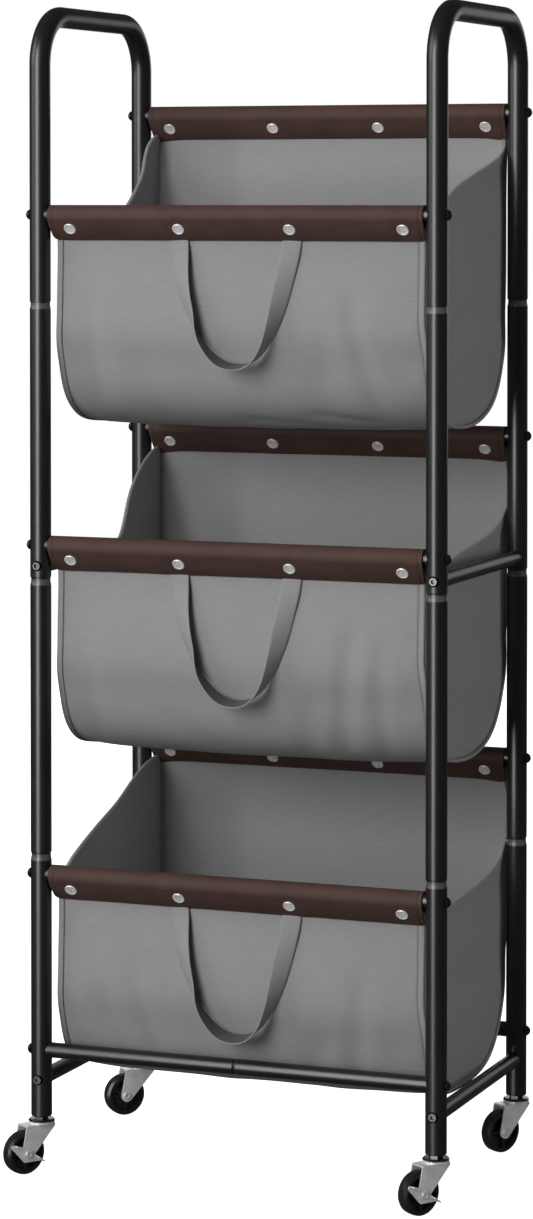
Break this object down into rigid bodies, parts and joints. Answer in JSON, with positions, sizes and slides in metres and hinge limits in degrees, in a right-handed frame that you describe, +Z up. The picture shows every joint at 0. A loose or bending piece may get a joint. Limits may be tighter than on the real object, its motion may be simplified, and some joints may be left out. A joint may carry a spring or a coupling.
{
  "type": "laundry sorter",
  "caption": "Tall narrow laundry trolley with stacked fabric sling bags between bolted black tube legs, U-shaped push handles over each end, swivel casters and rocker brakes in front.",
  "frame": {"origin": "on the floor, under the middle of the object's bounding box, casters included; the frame's own middle is 7.5 mm towards +X and 15 mm towards +Y of it, because the casters trail to the left and forwards", "axes": "+Z up, -Y is the front, where the low rails, the straps and the brakes are; +X is to the right seen from the front"},
  "size_m": [0.4859, 0.3225, 1.22],
  "materials": {
    "frame_tube": "satin black powder coat on steel tube",
    "leatherette": "dark brown leatherette with a soft sheen",
    "bag_fabric": "grey woven polyester, fine linen-like weave",
    "strap_webbing": "grey woven webbing",
    "black_screw": "gloss black domed screw",
    "steel_bolt": "grey plated steel",
    "insert_steel": "plated steel",
    "snap_metal": "bright nickel",
    "black_plastic": "matt black plastic",
    "zinc_steel": "zinc plated pressed steel",
    "axle_steel": "zinc plated rivet",
    "wheel_plastic": "moulded black plastic"
  },
  "bodies": {
    "frame": {"push_handle_left": "frame_tube", "push_handle_right": "frame_tube", "leg_lower_front_left": "frame_tube", "leg_lower_front_right": "frame_tube", "leg_lower_rear_left": "frame_tube", "leg_lower_rear_right": "frame_tube", "leg_middle_front_left": "frame_tube", "leg_middle_front_right": "frame_tube", "leg_middle_rear_left": "frame_tube", "leg_middle_rear_right": "frame_tube", "leg_upper_front_left": "frame_tube", "leg_upper_front_right": "frame_tube", "leg_upper_rear_left": "frame_tube", "leg_upper_rear_right": "frame_tube", "side_bar_middle_left": "frame_tube", "side_bar_middle_right": "frame_tube", "side_bar_low_left": "frame_tube", "side_bar_low_right": "frame_tube", "bottom_bar_front_left": "frame_tube", "bottom_bar_front_right": "frame_tube", "bottom_bar_rear_left": "frame_tube", "bottom_bar_rear_right": "frame_tube", "bag_rail_top_front": "frame_tube", "bag_rail_top_rear": "frame_tube", "bag_rail_middle_front": "frame_tube", "bag_rail_middle_rear": "frame_tube", "bag_rail_bottom_front": "frame_tube", "bag_rail_bottom_rear": "frame_tube", "sleeve_top_front": "leatherette", "sleeve_top_rear": "leatherette", "sleeve_middle_front": "leatherette", "sleeve_middle_rear": "leatherette", "sleeve_bottom_front": "leatherette", "sleeve_bottom_rear": "leatherette", "bag_top": "bag_fabric", "bag_middle": "bag_fabric", "bag_bottom": "bag_fabric", "carry_strap_top": "strap_webbing", "carry_strap_middle": "strap_webbing", "carry_strap_bottom": "strap_webbing", "rail_screws": "black_screw", "side_bar_bolts": "steel_bolt", "bar_end_inserts": "insert_steel", "snap_studs": "snap_metal", "foot_plugs": "black_plastic", "caster_stems": "zinc_steel"},
    "swivel_front_left": {"caster_fork_front_left": "zinc_steel", "caster_axle_front_left": "axle_steel"},
    "wheel_front_left": {"caster_wheel_front_left": "wheel_plastic"},
    "brake_left": {"brake_rocker_left": "zinc_steel"},
    "swivel_front_right": {"caster_fork_front_right": "zinc_steel", "caster_axle_front_right": "axle_steel"},
    "wheel_front_right": {"caster_wheel_front_right": "wheel_plastic"},
    "brake_right": {"brake_rocker_right": "zinc_steel"},
    "swivel_rear_left": {"caster_fork_rear_left": "zinc_steel", "caster_axle_rear_left": "axle_steel"},
    "wheel_rear_left": {"caster_wheel_rear_left": "wheel_plastic"},
    "swivel_rear_right": {"caster_fork_rear_right": "zinc_steel", "caster_axle_rear_right": "axle_steel"},
    "wheel_rear_right": {"caster_wheel_rear_right": "wheel_plastic"}
  },
  "joints": [
    {"name": "swivel_front_left", "type": "hinge", "parent": "frame", "child": "swivel_front_left", "pos_m": [-0.2105, -0.1185, 0.0505], "axis": [0, 0, 1], "continuous": true},
    {"name": "wheel_spin_front_left", "type": "hinge", "parent": "swivel_front_left", "child": "wheel_front_left", "pos_m": [-0.2228, -0.13674, 0.0225], "axis": [0.829, -0.5592, 0], "continuous": true},
    {"name": "brake_rock_left", "type": "hinge", "parent": "swivel_front_left", "child": "brake_left", "pos_m": [-0.2228, -0.13674, 0.0225], "axis": [0.829, -0.5592, 0], "range_deg": [0, 28]},
    {"name": "swivel_front_right", "type": "hinge", "parent": "frame", "child": "swivel_front_right", "pos_m": [0.2255, -0.1185, 0.0505], "axis": [0, 0, 1], "continuous": true},
    {"name": "wheel_spin_front_right", "type": "hinge", "parent": "swivel_front_right", "child": "wheel_front_right", "pos_m": [0.2132, -0.13674, 0.0225], "axis": [0.829, -0.5592, 0], "continuous": true},
    {"name": "brake_rock_right", "type": "hinge", "parent": "swivel_front_right", "child": "brake_right", "pos_m": [0.2132, -0.13674, 0.0225], "axis": [0.829, -0.5592, 0], "range_deg": [0, 28]},
    {"name": "swivel_rear_left", "type": "hinge", "parent": "frame", "child": "swivel_rear_left", "pos_m": [-0.2105, 0.1485, 0.0505], "axis": [0, 0, 1], "continuous": true},
    {"name": "wheel_spin_rear_left", "type": "hinge", "parent": "swivel_rear_left", "child": "wheel_rear_left", "pos_m": [-0.22578, 0.13267, 0.0225], "axis": [0.7193, -0.6947, 0], "continuous": true},
    {"name": "swivel_rear_right", "type": "hinge", "parent": "frame", "child": "swivel_rear_right", "pos_m": [0.2255, 0.1485, 0.0505], "axis": [0, 0, 1], "continuous": true},
    {"name": "wheel_spin_rear_right", "type": "hinge", "parent": "swivel_rear_right", "child": "wheel_rear_right", "pos_m": [0.21384, 0.12984, 0.0225], "axis": [0.848, -0.5299, 0], "continuous": true}
  ]
}
